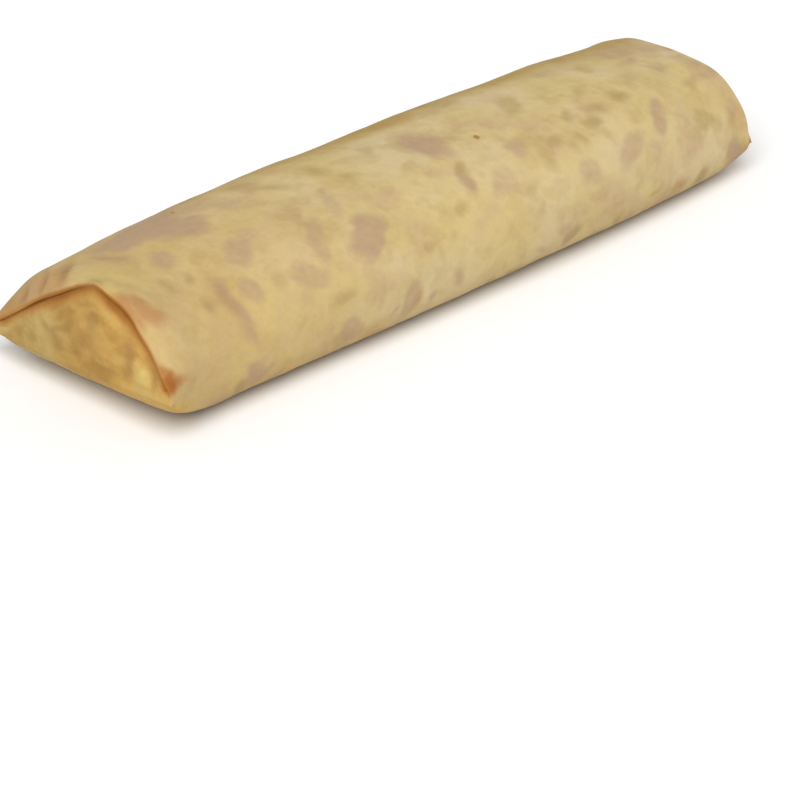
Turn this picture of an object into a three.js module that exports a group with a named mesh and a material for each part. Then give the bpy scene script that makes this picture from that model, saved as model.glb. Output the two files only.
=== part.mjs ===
// A blintz: one thin crepe folded round its filling, both ends tucked in, lying on its seam.
// Millimetres. X runs along the roll, Y across it and Z up. The near end is at -X and the front at -Y.
// The whole parcel is one skin of rings. They start in the middle of the near end panel, pass round
// the near lip, run along the wrap, and close in the middle of the far end panel.
import * as THREE from 'three';

// The roll between its two lips
const LENGTH = 125;
const WIDTH = 37;
const HEIGHT = 19.5;

// Height of the widest place, as a share of the height
const WIDEST = 0.42;

// How much slimmer and lower the roll gets towards its ends
const SLIMMING = 0.08;

// Superellipse powers of the section above and below its widest place
const ROUND_TOP = 2.25;
const ROUND_BASE = 3;

// How far the soft underside is pressed flat by the weight on it
const PRESSED = 0.9;

// Where the underside has risen to within this of the corners, the section is a slack arch there
const ARCH_BELOW = 3;

// The near end, pinched into a low tent with its ridge in front of the middle. The tent's powers are
// superellipse powers, where 1 is straight. Its back corner is drawn out into an ear, and its
// underside curls up to a slanting edge.
const NEAR = {
  side: -1,
  pinch: 16,
  width: 38,
  ridge: 19.8,
  ridgeShift: -3.8,
  corner: 5.5,
  tilt: 1.2,
  ear: 2,
  curlHeight: 5.6,
  curlLength: 12.5,
  curlPower: 1.57,
  tent: { back: 1.2, front: 1.37 },
  tentLength: 5,
  squareBase: 5,
  middle: { y: -1, z: 11 },
};

// The far end, rounder, narrower and lower
const FAR = {
  side: 1,
  pinch: 31,
  width: 30.6,
  ridge: 15.7,
  ridgeShift: 3.6,
  corner: 4.4,
  tilt: 0.6,
  ear: 0,
  curlHeight: 3.5,
  curlLength: 11,
  curlPower: 2,
  tent: { back: 2.77, front: 2.77 },
  tentLength: 31,
  squareBase: 3,
  middle: { y: 0.5, z: 9.5 },
};

// The free edge of the wrap over each tucked panel
const LIP_THICKNESS = 0.85;
const LIP_FADE = 0.22;
const LIP_LEAN = 0.8;
const PANEL_RECESS = 1.3;
const PANEL_BULGE = 0.6;
const PANEL_EDGE_POWER = 8;

// Gap between the lip's rings below its corners, where the lip has no thickness
const CORNER_RING_GAP = 0.12;

// Swells and hollows of the filling: place along the roll, angle round it, reach both ways, height
const SWELLS = [
  { x: 0, angle: 0.8, reach: 12, spread: 0.6, height: -0.4 },
  { x: -37, angle: 0.75, reach: 9, spread: 0.6, height: 0.15 },
  { x: -53, angle: 0.75, reach: 7, spread: 0.5, height: -0.4 },
  { x: 30, angle: 0.8, reach: 7, spread: 0.5, height: -0.2 },
  { x: 58, angle: 1.0, reach: 5, spread: 0.35, height: 0.5 },
  { x: 62, angle: 2.2, reach: 5, spread: 0.35, height: 0.4 },
  { x: -28, angle: 2.5, reach: 11, spread: 0.5, height: 0.35 },
  { x: -6, angle: 2.9, reach: 8, spread: 0.5, height: -0.35 },
  { x: 16, angle: 2.4, reach: 10, spread: 0.5, height: 0.3 },
  { x: 42, angle: 2.8, reach: 9, spread: 0.5, height: -0.3 },
];

// Small ripples of the skin: height, length along the roll, turns round it, phase
const RIPPLES = [
  { height: 0.1, length: 60, turns: 2, phase: 0.4 },
  { height: 0.07, length: 32, turns: -3, phase: 2.2 },
];

// The wrap's last flap, whose edge runs along the underside behind the middle
const FLAP_STEP = 0.5;
const FLAP_EDGE = 5.5;
const FLAP_BLEND = 0.9;
const FLAP_LOW = 9;
const FLAP_WAVES = [
  { height: 1.3, length: 94, phase: 0 },
  { height: 0.6, length: 36, phase: 1 },
];

// How finely the skin is divided
const COLUMNS = 72;
const STATIONS = 29;
const LIP_STEPS = 4;
const PANEL_RINGS = 7;

const HALF_TURN = Math.PI;
const FULL_TURN = Math.PI * 2;
const HALF_LENGTH = LENGTH / 2;

// Surface lumps and the flap fade out over this length before each lip
const END_CALM = 12;

const clamp01 = (value) => Math.min(1, Math.max(0, value));

const blend = (from, to, share) => from + (to - from) * share;

function smooth(value) {
  const t = clamp01(value);
  return t * t * (3 - 2 * t);
}

// 0 until `start` along x towards one end, then rising to 1 at the lip.
function towardsLip(end, x, start) {
  return clamp01((end.side * x - (HALF_LENGTH - start)) / start);
}

// Height of a quarter superellipse that leaves the table flat and arrives upright.
function curlUp(end, x) {
  const share = towardsLip(end, x, end.curlLength);
  return 1 - (1 - share ** end.curlPower) ** (1 / end.curlPower);
}

function swellAt(x, angle, calm) {
  let height = 0;
  for (const ripple of RIPPLES) {
    const phase = (FULL_TURN * x) / ripple.length + ripple.turns * angle + ripple.phase;
    height += ripple.height * (1 - calm) * Math.sin(phase);
  }
  for (const swell of SWELLS) {
    const along = (x - swell.x) / swell.reach;
    const round = (angle - swell.angle) / swell.spread;
    height += swell.height * Math.exp(-along * along - round * round);
  }
  return height;
}

// How far the skin behind the flap's edge lies above the flap's own underside.
function flapStep(x, y, z, calm) {
  let edge = FLAP_EDGE;
  for (const wave of FLAP_WAVES) {
    edge += wave.height * Math.sin((FULL_TURN * x) / wave.length + wave.phase);
  }
  const behind = smooth((y - edge) / FLAP_BLEND);
  const low = smooth((FLAP_LOW - z) / FLAP_LOW);
  return FLAP_STEP * behind * low * (1 - calm);
}

// A point of the wrap's outer skin. The angle turns from the back, over the top, to the front.
function wrapPoint(x, angle) {
  const share = x / HALF_LENGTH;
  const slim = 1 - SLIMMING * share * share;
  let half = (WIDTH / 2) * slim;
  let top = HEIGHT * slim;
  let widest = WIDEST * top;
  let base = -PRESSED;
  let power = ROUND_TOP;
  let basePower = ROUND_BASE;
  let shift = 0;
  let tilt = 0;
  let ear = 0;
  let calm = 0;
  const across = Math.cos(angle);
  const up = Math.sin(angle);
  const inFront = smooth(0.5 - 0.9 * across);
  for (const end of [NEAR, FAR]) {
    const pinch = towardsLip(end, x, end.pinch);
    const eased = pinch * pinch;
    half = blend(half, end.width / 2, eased);
    top = blend(top, end.ridge, eased);
    widest = blend(widest, end.corner, eased);
    const tent = blend(end.tent.back, end.tent.front, inFront);
    power = blend(power, tent, towardsLip(end, x, end.tentLength) ** 1.5);
    basePower = blend(basePower, end.squareBase, eased);
    shift = blend(shift, end.ridgeShift, eased);
    tilt += end.tilt * eased;
    ear += end.ear * eased;
    base += (end.curlHeight + PRESSED) * curlUp(end, x);
    calm = Math.max(calm, towardsLip(end, x, END_CALM));
  }
  const rounding = up > 0 ? power : basePower;
  const radius = (Math.abs(across) ** rounding + Math.abs(up) ** rounding) ** (-1 / rounding);
  const v = radius * up;
  let u = radius * across;
  if (up < 0) {
    const evenly = angle / (HALF_TURN / 2) - 3;
    u = blend(u, evenly, smooth(1 - (widest - base) / ARCH_BELOW));
  }
  let y = half * u + ear * Math.max(u, 0) ** 3;
  let z = widest - tilt * u;
  if (v > 0) {
    y += shift * v;
    z += (top - widest) * v;
  } else if (base > widest) {
    z += (base - widest) * (1 - u * u);
  } else {
    z += (widest - base) * v;
  }
  const swell = swellAt(x, angle, calm) * smooth((z - 0.5) / 5);
  y += swell * across;
  z = Math.max(z + swell * up, 0);
  if (v < 0) {
    z += flapStep(x, y, z, calm);
  }
  return new THREE.Vector3(x, y, z);
}

function columnAngle(column) {
  return (FULL_TURN * column) / COLUMNS;
}

function ringOf(pointAt) {
  return Array.from({ length: COLUMNS }, (_, column) => pointAt(column));
}

// Share of the lip at a column: whole over the top, none at the corners and below them.
function lipShare(column) {
  return smooth(Math.sin(columnAngle(column)) / LIP_FADE);
}

// A ring of the rounded lip. The turn runs from the outer skin, round the rim, to the inner side.
function lipRing(end, step) {
  const turn = (HALF_TURN * step) / LIP_STEPS;
  return ringOf((column) => {
    const angle = columnAngle(column);
    const share = lipShare(column);
    const setBack = (LIP_THICKNESS / 2) * (1 - Math.sin(turn)) * share;
    const lipInset = (LIP_THICKNESS / 2) * (1 - Math.cos(turn));
    const inset = blend(CORNER_RING_GAP * step, lipInset, share);
    const rim = wrapPoint(end.side * HALF_LENGTH, angle);
    const aimY = blend(end.middle.y, rim.y * LIP_LEAN, share);
    const aimZ = blend(end.middle.z, end.corner, share);
    const inwards = new THREE.Vector3(0, aimY - rim.y, aimZ - rim.z).normalize();
    return wrapPoint(end.side * (HALF_LENGTH - setBack), angle).addScaledVector(inwards, inset);
  });
}

// A ring of the tucked panel, from 1 at its edge towards 0 in its middle.
function panelRing(end, edge, share) {
  return ringOf((column) => {
    const rim = edge[column];
    const y = blend(end.middle.y, rim.y, share);
    const z = blend(end.middle.z, rim.z, share);
    const recess = PANEL_RECESS * lipShare(column) * share ** PANEL_EDGE_POWER;
    const bulge = PANEL_BULGE * (1 - share * share);
    return new THREE.Vector3(end.side * (HALF_LENGTH + bulge - recess), y, z);
  });
}

// All rings of one end, from the wrap to the middle of the panel, and the middle point itself.
function tuckedEnd(end) {
  const rings = [];
  for (let step = 0; step <= LIP_STEPS; step += 1) {
    rings.push(lipRing(end, step));
  }
  const edge = rings[rings.length - 1];
  for (let index = 0; index < PANEL_RINGS; index += 1) {
    rings.push(panelRing(end, edge, 1 - index / PANEL_RINGS));
  }
  const x = end.side * (HALF_LENGTH + PANEL_BULGE);
  return { rings, middle: new THREE.Vector3(x, end.middle.y, end.middle.z) };
}

// A ring of the wrap. The rings lie closer together near the lips, where the underside curls up.
function wrapRing(station) {
  const x = -(HALF_LENGTH - LIP_THICKNESS) * Math.cos((HALF_TURN * station) / (STATIONS - 1));
  return ringOf((column) => wrapPoint(x, columnAngle(column)));
}

// Joins the rings, in order towards +X, and one closing point at each end into a closed skin.
function closedSkin(first, rings, last) {
  const points = [first, ...rings.flat(), last];
  const at = (ring, column) => 1 + ring * COLUMNS + (column % COLUMNS);
  const triangles = [];
  for (let column = 0; column < COLUMNS; column += 1) {
    triangles.push(0, at(0, column + 1), at(0, column));
    for (let ring = 0; ring < rings.length - 1; ring += 1) {
      const corner = at(ring, column);
      const opposite = at(ring + 1, column + 1);
      triangles.push(corner, at(ring, column + 1), opposite);
      triangles.push(corner, opposite, at(ring + 1, column));
    }
    const end = rings.length - 1;
    triangles.push(points.length - 1, at(end, column), at(end, column + 1));
  }
  const geometry = new THREE.BufferGeometry().setFromPoints(points);
  geometry.setIndex(triangles);
  return geometry;
}

// Puts the middle of the underside at the origin.
function standOnOrigin(geometry) {
  geometry.computeBoundingBox();
  const { min, max } = geometry.boundingBox;
  geometry.translate(-(min.x + max.x) / 2, -(min.y + max.y) / 2, -min.z);
  geometry.computeVertexNormals();
  return geometry;
}

function makeBlintz() {
  const near = tuckedEnd(NEAR);
  const far = tuckedEnd(FAR);
  const wrap = Array.from({ length: STATIONS }, (_, station) => wrapRing(station));
  const rings = [...near.rings.reverse(), ...wrap, ...far.rings];
  const crepe = new THREE.MeshStandardMaterial({ color: 0xd0b680, roughness: 0.7, metalness: 0 });
  const mesh = new THREE.Mesh(standOnOrigin(closedSkin(near.middle, rings, far.middle)), crepe);
  mesh.name = 'blintz';
  return mesh;
}

const group = new THREE.Group();
group.name = 'strawberry_blintz';
group.add(makeBlintz());

export default group;
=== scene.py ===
import logging
import math
from collections.abc import Iterable, Sequence
from dataclasses import asdict, dataclass
from enum import Enum

import bpy
import numpy as np
from mathutils import Matrix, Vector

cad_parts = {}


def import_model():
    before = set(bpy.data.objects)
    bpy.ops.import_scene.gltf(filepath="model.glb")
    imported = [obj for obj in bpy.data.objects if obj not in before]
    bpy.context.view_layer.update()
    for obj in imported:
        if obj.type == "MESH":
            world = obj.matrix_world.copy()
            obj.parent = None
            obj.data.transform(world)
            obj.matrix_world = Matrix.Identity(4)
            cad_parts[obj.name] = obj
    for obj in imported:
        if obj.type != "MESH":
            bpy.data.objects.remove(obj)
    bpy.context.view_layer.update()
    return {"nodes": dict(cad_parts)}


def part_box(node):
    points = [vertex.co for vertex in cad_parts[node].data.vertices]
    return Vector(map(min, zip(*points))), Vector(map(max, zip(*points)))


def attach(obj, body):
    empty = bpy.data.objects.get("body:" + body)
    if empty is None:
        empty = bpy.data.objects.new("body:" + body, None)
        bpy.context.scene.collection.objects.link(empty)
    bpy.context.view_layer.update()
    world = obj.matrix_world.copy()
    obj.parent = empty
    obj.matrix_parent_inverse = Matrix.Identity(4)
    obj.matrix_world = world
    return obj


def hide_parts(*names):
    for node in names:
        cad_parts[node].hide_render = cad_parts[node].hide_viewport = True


LOG = logging.getLogger("blintz")

Array = np.ndarray
Colour = tuple[float, float, float]

MM = 0.001
FULL_TURN = 2 * math.pi
NODE = "blintz"
BODY = "root"

# Light that reaches the side facing the camera, against what makes a white surface just white
LIGHT_ON_CREPE = 1.25

# How quickly a patch or a crease fades where the skin turns from wrap to panel
SIDE_FADE = 2.5

# Keeps a direction from having no length, and a share from being divided by nothing
TINY = 1e-9
LEAST_WEIGHT = 1e-6


def clamp01(value: Array) -> Array:
    """Values held between 0 and 1."""
    return np.clip(value, 0.0, 1.0)


def smooth(value: Array) -> Array:
    """A soft step: 0 below 0, 1 above 1, and level at both ends."""
    t = clamp01(value)
    return t * t * (3 - 2 * t)


def blend(start: Array, end: Array, share: Array) -> Array:
    """Values from start at share 0 to end at share 1."""
    return start + (end - start) * share


def bell(off: Array, power: float = 2.0) -> Array:
    """1 in the middle and falling off beside it."""
    return np.exp(-(off**power))


def unit(vectors: Array) -> Array:
    """Vectors of length 1 along the last axis."""
    return vectors / np.linalg.norm(vectors, axis=-1, keepdims=True)


def turned(angle: float) -> Array:
    """A matrix that turns flat directions by an angle in radians."""
    return np.array([[math.cos(angle), math.sin(angle)], [-math.sin(angle), math.cos(angle)]])


def same_side(panel: Array, on_panel: bool) -> Array:
    """1 where the skin is of the asked piece, panel or wrap, fading out well inside the other."""
    return smooth(SIDE_FADE * (panel if on_panel else 1 - panel))


def seen(*parts: float) -> Colour:
    """The crepe's own linear colour behind one from 0 to 255 that is seen under the studio's light."""
    red, green, blue = (((part / 255 + 0.055) / 1.055) ** 2.4 / LIGHT_ON_CREPE for part in parts)
    return red, green, blue


class Wire:
    """An output socket of a node tree, on which arithmetic is written as plain expressions."""

    def __init__(self, graph: "Graph", socket: bpy.types.NodeSocket) -> None:
        """Wraps a socket of a graph."""
        self.graph = graph
        self.socket = socket

    def __add__(self, other: "Value") -> "Wire":
        """Sum, with the number on either side."""
        return self.graph.math("ADD", self, other)

    def __mul__(self, other: "Value") -> "Wire":
        """Product, with the number on either side."""
        return self.graph.math("MULTIPLY", self, other)

    def __sub__(self, other: "Value") -> "Wire":
        """Difference."""
        return self.graph.math("SUBTRACT", self, other)

    def __rsub__(self, other: "Value") -> "Wire":
        """Difference, with the number on the left."""
        return self.graph.math("SUBTRACT", other, self)

    def __rtruediv__(self, other: "Value") -> "Wire":
        """Quotient, with the number on the left."""
        return self.graph.math("DIVIDE", other, self)

    __radd__ = __add__
    __rmul__ = __mul__


Value = Wire | float


class Graph:
    """Writes the nodes of one shader or geometry tree."""

    def __init__(self, tree: bpy.types.NodeTree) -> None:
        """Starts on an existing tree."""
        self.tree = tree

    def node(
        self,
        kind: str,
        settings: dict[str, object] | None = None,
        inputs: dict[str | int, object] | None = None,
        output: str | int = 0,
    ) -> Wire:
        """Adds one node.

        Args:
            kind: The node's Blender type.
            settings: Its own settings.
            inputs: Numbers, colours or wires for its sockets.
            output: The socket that the wire leaves by.

        Returns:
            The wire from that socket.
        """
        made = self.tree.nodes.new(kind)
        for name, value in (settings or {}).items():
            setattr(made, name, value)
        for key, value in (inputs or {}).items():
            self.feed(made.inputs[key], value)
        return Wire(self, made.outputs[output])

    def feed(self, socket: bpy.types.NodeSocket, value: object) -> None:
        """Links a wire to a socket, or sets the socket's own value.

        Args:
            socket: The input socket.
            value: A wire, a number, or three numbers.
        """
        if isinstance(value, Wire):
            self.tree.links.new(value.socket, socket)
        elif isinstance(value, tuple) and socket.type == "RGBA":
            socket.default_value = (*value, 1.0)
        else:
            socket.default_value = value

    def math(self, operation: str, *values: Value) -> Wire:
        """A Math node of that operation on one to three values."""
        return self.node("ShaderNodeMath", {"operation": operation}, dict(enumerate(values)))

    def vector(self, operation: str, *values: object) -> Wire:
        """A Vector Math node of that operation."""
        return self.node("ShaderNodeVectorMath", {"operation": operation}, dict(enumerate(values)))

    def step(self, value: Value, low: Value, high: Value) -> Wire:
        """0 where value is under low and 1 where it is over high, with a soft rise between."""
        inputs = {"Value": value, "From Min": low, "From Max": high}
        return self.node("ShaderNodeMapRange", {"interpolation_type": "SMOOTHSTEP"}, inputs, "Result")

    def mix(self, share: Value, low: object, high: object, way: str = "MIX") -> Wire:
        """The second colour over the first by a share, plain or in one of Blender's other ways."""
        settings = {"data_type": "RGBA", "blend_type": way}
        return self.node("ShaderNodeMix", settings, {0: share, 6: low, 7: high}, 2)

    def noise(
        self,
        place: Wire,
        size: Value,
        seed: Value,
        detail: float = 2.0,
        rough: float = 0.5,
    ) -> Wire:
        """Soft noise around 0.5, of a size in metres, with its finer layers' number and strength."""
        inputs = {"Vector": place, "W": seed, "Scale": 1 / size, "Detail": detail, "Roughness": rough}
        return self.node("ShaderNodeTexNoise", {"noise_dimensions": "4D"}, inputs)

    def attribute(self, name: str) -> Wire:
        """A number that the mesh stores at its points, for a shader."""
        return self.node("ShaderNodeAttribute", {"attribute_name": name}, output="Fac")


class Tint(Enum):
    """The kinds of patch on a crepe, most of them left by a griddle; some pale ones paint highlights and
    one brown one paints shade.
    """

    PALE_AND_HIGHLIGHT = "pale"
    OLIVE = "olive"
    MAUVE = "mauve"
    RUST = "rust"
    BROWN = "brown_and_shade"
    DULL = "dull"


@dataclass(frozen=True)
class Spot:
    """A patch on the side that the camera sees. Its reaches are in millimetres, as seen."""

    x: float  # The pixel column of its middle in the 800 by 800 picture
    y: float  # The pixel row of its middle
    long: float  # Its longer reach from the middle
    wide: float  # Its shorter reach
    lean: float  # Degrees from level to its longer axis, downhill to the right
    depth: float  # How strong it is, up to 1
    square: float = 2.0  # 2 for an oval, more for a squarer patch
    soft: float = 3.0  # How wide the rise across its edge is


SpotTable = dict[Tint, tuple[tuple[float, ...], ...]]


@dataclass(frozen=True)
class Swell:
    """A swell or hollow that the filling pushes into the wrap: place, angle, both reaches, height."""

    x: float
    angle: float
    reach: float
    spread: float
    height: float

    def at(self, x: Array, angle: Array) -> Array:
        """How far it pushes the wrap out, at places along the roll and angles round it."""
        along, about = (x - self.x) / self.reach, (angle - self.angle) / self.spread
        return self.height * np.exp(-along * along - about * about)


@dataclass(frozen=True)
class Ripple:
    """A long low ripple of the skin: height, length along the roll, turns round it and phase."""

    height: float
    length: float
    turns: int
    phase: float

    def at(self, x: Array, angle: Array) -> Array:
        """How far it lifts the skin, at places along the roll and angles round it."""
        return self.height * np.sin(FULL_TURN * x / self.length + self.turns * angle + self.phase)


@dataclass(frozen=True)
class TuckedEnd:
    """The sizes of one pinched end, in millimetres."""

    side: int  # -1 for the near end and 1 for the far end
    pinch: float  # How far from the lip the pinch begins
    width: float  # Width from corner to corner
    ridge: float  # Height of the lip's ridge
    ridge_shift: float  # How far the ridge lies behind the middle
    corner: float  # Height of the two corners
    tilt: float  # How much higher the front corner is than that, and how much lower the back one
    ear: float  # How far the back corner is drawn out
    curl_height: float  # How far the underside has risen at the panel
    curl_length: float  # How far from the panel it begins to rise
    curl_power: float  # The superellipse power of that rise
    tent: tuple[float, float]  # The lip's superellipse powers behind and in front, 1 for a plain tent
    square_base: float  # The same below the corners
    tent_length: float  # How far from the lip the section begins to turn into that tent
    middle: tuple[float, float]  # The panel's middle, across and up


NEAR_END = TuckedEnd(
    side=-1,
    pinch=16,
    width=38,
    ridge=19.8,
    ridge_shift=-3.8,
    corner=5.5,
    tilt=1.2,
    ear=2,
    curl_height=5.6,
    curl_length=12.5,
    curl_power=1.57,
    tent=(1.2, 1.37),
    square_base=5,
    tent_length=5,
    middle=(-1, 11),
)

FAR_END = TuckedEnd(
    side=1,
    pinch=31,
    width=30.6,
    ridge=15.7,
    ridge_shift=3.6,
    corner=4.4,
    tilt=0.6,
    ear=0,
    curl_height=3.5,
    curl_length=11,
    curl_power=2,
    tent=(2.77, 2.77),
    square_base=3,
    tent_length=31,
    middle=(0.5, 9.0),
)


@dataclass
class Skin:
    """The parcel's skin from the near panel's middle, ring by ring, to the far panel's middle."""

    points: Array  # The x, y and z of each point, in millimetres
    rings: int  # How many rings there are between the two middles
    known: dict[str, Array]  # How browned and painted with shadow under the lip, how much of a panel and how calm each point is


@dataclass(frozen=True)
class Parcel:
    """The folded crepe: its sizes in millimetres and its skin as a formula.

    X runs along the roll, and an angle turns from the back, over the top, to the front.
    """

    length: float = 125.0  # From the rim of one lip to the other
    width: float = 37.0
    height: float = 19.5
    widest: float = 0.42  # Where the section is widest, as a share of its height
    slimming: float = 0.08  # How much slimmer it is at the ends
    round_top: float = 2.25  # The superellipse power of the section's upper half
    round_base: float = 3.0  # The same of its lower half
    pressed: float = 0.9  # How much of the underside the table presses flat
    arch_below: float = 3.0  # How low a corner is where the points under it begin to spread evenly
    end_calm: float = 12.0  # How far from the lips the ripples and the flap fade out
    near: TuckedEnd = NEAR_END
    far: TuckedEnd = FAR_END
    tent_ease: float = 1.5  # The power with which the section turns into the lip's tent
    front_turn: float = 0.9  # How quickly the tent's power turns from the back one to the front one

    # The lip's cut edge
    lip_thickness: float = 0.6
    lip_fade: float = 0.22  # The sine over which it grows out of the corners
    lip_lean: float = 0.8  # 1 where its thickness stands straight down, less where it leans inwards
    lip_steps: int = 8
    lip_calm: float = 1.5  # How far from it the blisters fade out
    lip_overlap: float = 0.9  # How far behind it the wrap's last ring lies, in lip thicknesses
    lip_brown_and_shade: tuple[float, float] = (-0.1, 0.6)  # Where round it the browning and painted shadow begin, and over how much

    # The groove between the lip and the panel, below the rim
    groove_depth: float = 0.34
    groove_gap: float = 0.4
    groove_flare: float = 0.6  # How much wider it is where it meets the panel
    groove_step: float = 0.1  # How much deeper its far side begins
    groove_steps: int = 4

    # How strongly the lip is browned and painted with shadow and a warm glow, by angle, and how far that
    # reaches on the panel
    rim_reach: float = 1.1
    rim_falloff: float = 1.4
    rim_strength: tuple[tuple[float, float], ...] = (
        (0.0, 0.7),
        (0.5, 0.55),
        (0.85, 0.85),
        (1.1, 1.0),
        (1.3, 0.8),
        (1.55, 0.55),
        (1.75, 1.0),
        (1.95, 1.0),
        (2.2, 0.75),
        (2.6, 0.62),
        (3.14, 0.85),
    )

    # The same on the wrap beside the lip's back half: its share, its reach, and where it ends
    outer_browning: float = 0.35
    outer_reach: float = 0.6
    outer_end: tuple[float, float] = (1.75, 0.35)  # The angle, and how far round it fades

    # The panels tucked in under the lips
    panel_recess: float = 0.3  # How far the edge lies behind the rim
    panel_bulge: float = 0.8
    panel_round: tuple[float, float] = (12.0, 5.0)  # The bulge's reach, across and up
    panel_lift: float = 1.5  # How far the bulge's top lies above the panel's middle
    panel_edge_power: float = 8.0  # How sharply the recess ends inwards
    panel_crowding: float = 1.25  # Over 1, the rings are closer together at the edge
    panel_rise: float = 0.4  # Share of the way inwards over which the bulge rises
    panel_under: float = 4.0  # How far under the parcel the panel's look goes on
    under_fade: float = 0.3  # The sine over which that begins below the corners
    corner_gap: float = 0.1  # From ring to ring below the corners

    # The edge of the flap on the underside
    flap_step: float = 0.5
    flap_edge: float = 5.5  # How far behind the middle it runs
    flap_blend: float = 0.5
    flap_low: float = 9.0  # The height at which its step has faded out
    flap_waves: tuple[Ripple, ...] = (Ripple(1.3, 94, 0, 0), Ripple(0.6, 36, 0, 1))

    # The unevenness of the rim and of the wrap
    rim_waves: tuple[Ripple, ...] = (Ripple(0.22, 1, 5, 1.0), Ripple(0.12, 1, 11, 2.0))
    wave_reach: float = 3.0  # How far from the rim its waves fade out
    ripples: tuple[Ripple, ...] = (Ripple(0.1, 60, 2, 0.4), Ripple(0.07, 32, -3, 2.2))
    swell_foot: tuple[float, float] = (0.5, 5.0)  # The height at which swells begin, and over how much
    swells: tuple[Swell, ...] = (
        Swell(0, 0.8, 12, 0.6, -0.4),
        Swell(-37, 0.75, 9, 0.6, 0.15),
        Swell(-53, 0.75, 7, 0.5, -0.4),
        Swell(30, 0.8, 7, 0.5, -0.2),
        Swell(58, 1.0, 5, 0.35, 0.5),
        Swell(62, 2.2, 5, 0.35, 0.4),
        Swell(-62.5, 0.8, 3.5, 0.25, 0.3),
        Swell(-62.5, 1.05, 3.5, 0.15, 0.06),
        Swell(-62.5, 1.42, 4, 0.22, 0.18),
        Swell(-62.5, 1.63, 3, 0.09, 0.24),
        Swell(-62.5, 2.0, 4, 0.5, 0.24),
        Swell(-28, 2.5, 11, 0.5, 0.35),
        Swell(-6, 2.9, 8, 0.5, -0.35),
        Swell(16, 2.4, 10, 0.5, 0.3),
        Swell(42, 2.8, 9, 0.5, -0.3),
    )

    # How finely the skin is divided
    columns: int = 240
    wrap_rings: int = 322
    panel_rings: int = 24
    last_ring: float = 0.985  # How far round the curl's quarter turn the wrap's last ring lies

    @property
    def half_length(self) -> float:
        """Half the length between the two lips."""
        return self.length / 2

    def towards_lip(self, end: TuckedEnd, x: Array, start: float) -> Array:
        """0 until start millimetres before the lip, then rising to 1 at it."""
        return clamp01((end.side * x - (self.half_length - start)) / start)

    def curl_up(self, end: TuckedEnd, x: Array) -> Array:
        """Height of a quarter superellipse that leaves the table flat and arrives upright."""
        share = self.towards_lip(end, x, end.curl_length)
        return 1 - (1 - share**end.curl_power) ** (1 / end.curl_power)

    def swell_at(self, x: Array, angle: Array, calm: Array) -> Array:
        """How far the filling pushes the wrap out, with no ripples where calm is 1."""
        rippled = sum(ripple.at(x, angle) for ripple in self.ripples)
        return rippled * (1 - calm) + sum(swell.at(x, angle) for swell in self.swells)

    def flap_line(self, x: Array) -> Array:
        """Where the flap's edge runs along the underside, across the roll."""
        return self.flap_edge + sum(wave.at(x, 0.0) for wave in self.flap_waves)

    def flap_at(self, x: Array, y: Array, z: Array, calm: Array) -> Array:
        """How far the skin behind the flap's edge lies above the underside, but not where it is calm."""
        behind = smooth((y - self.flap_line(x)) / self.flap_blend)
        return self.flap_step * behind * smooth((self.flap_low - z) / self.flap_low) * (1 - calm)

    def wrap(self, x: Array, angle: Array) -> Array:
        """Points of the wrap's outer skin.

        Args:
            x: Places along the roll.
            angle: Angles round it.

        Returns:
            The points, with x, y and z on the last axis.
        """
        x, angle = np.broadcast_arrays(np.asarray(x, float), np.asarray(angle, float))
        share = x / self.half_length
        slim = 1 - self.slimming * share * share
        half = self.width / 2 * slim
        top = self.height * slim
        widest = self.widest * top
        base = np.full_like(x, -self.pressed)
        power = np.full_like(x, self.round_top)
        base_power = np.full_like(x, self.round_base)
        shift, tilt, ear, calm = (np.zeros_like(x) for _ in range(4))
        in_front = smooth(0.5 - self.front_turn * np.cos(angle))
        for end in (self.near, self.far):
            eased = self.towards_lip(end, x, end.pinch) ** 2
            half = blend(half, end.width / 2, eased)
            top = blend(top, end.ridge, eased)
            widest = blend(widest, end.corner, eased)
            tented = self.towards_lip(end, x, end.tent_length) ** self.tent_ease
            power = blend(power, blend(*end.tent, in_front), tented)
            base_power = blend(base_power, end.square_base, eased)
            shift = blend(shift, end.ridge_shift, eased)
            tilt = tilt + end.tilt * eased
            ear = ear + end.ear * eased
            base = base + (end.curl_height + self.pressed) * self.curl_up(end, x)
            calm = np.maximum(calm, self.towards_lip(end, x, self.end_calm))
        across, up = np.cos(angle), np.sin(angle)
        over = up > 0
        rounding = np.where(over, power, base_power)
        radius = (np.abs(across) ** rounding + np.abs(up) ** rounding) ** (-1 / rounding)
        u, v = radius * across, radius * up
        evenly = np.mod(angle, FULL_TURN) / (math.pi / 2) - 3
        arched = smooth(1 - (widest - base) / self.arch_below)
        u = np.where(up < 0, blend(u, evenly, arched), u)
        y = half * u + ear * np.maximum(u, 0) ** 3 + np.where(over, shift * v, 0)
        z = widest - tilt * u
        below = np.where(base > widest, (base - widest) * (1 - u * u), (widest - base) * v)
        z = z + np.where(over, (top - widest) * v, below)
        foot, rise = self.swell_foot
        swell = self.swell_at(x, angle, calm) * smooth((z - foot) / rise)
        y = y + swell * across
        z = np.maximum(z + swell * up, 0)
        z = z + np.where(v < 0, self.flap_at(x, y, z, calm), 0)
        return np.stack([x, y, z], -1)

    def angles(self) -> Array:
        """The angles of the skin's columns."""
        return np.arange(self.columns) * FULL_TURN / self.columns

    def lip_share(self) -> Array:
        """Share of the lip at each column: whole over the top, none from the corners down."""
        return smooth(np.sin(self.angles()) / self.lip_fade)

    def rim_share(self) -> Array:
        """How strongly the lip is browned and painted with shadow at each column."""
        angles, strengths = zip(*self.rim_strength)
        return self.lip_share() * np.interp(self.angles(), angles, strengths)

    def rim_wave(self) -> Array:
        """How far the lip's cut edge wanders in and out at each column."""
        return sum(wave.at(0.0, self.angles()) for wave in self.rim_waves) * self.lip_share()

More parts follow.
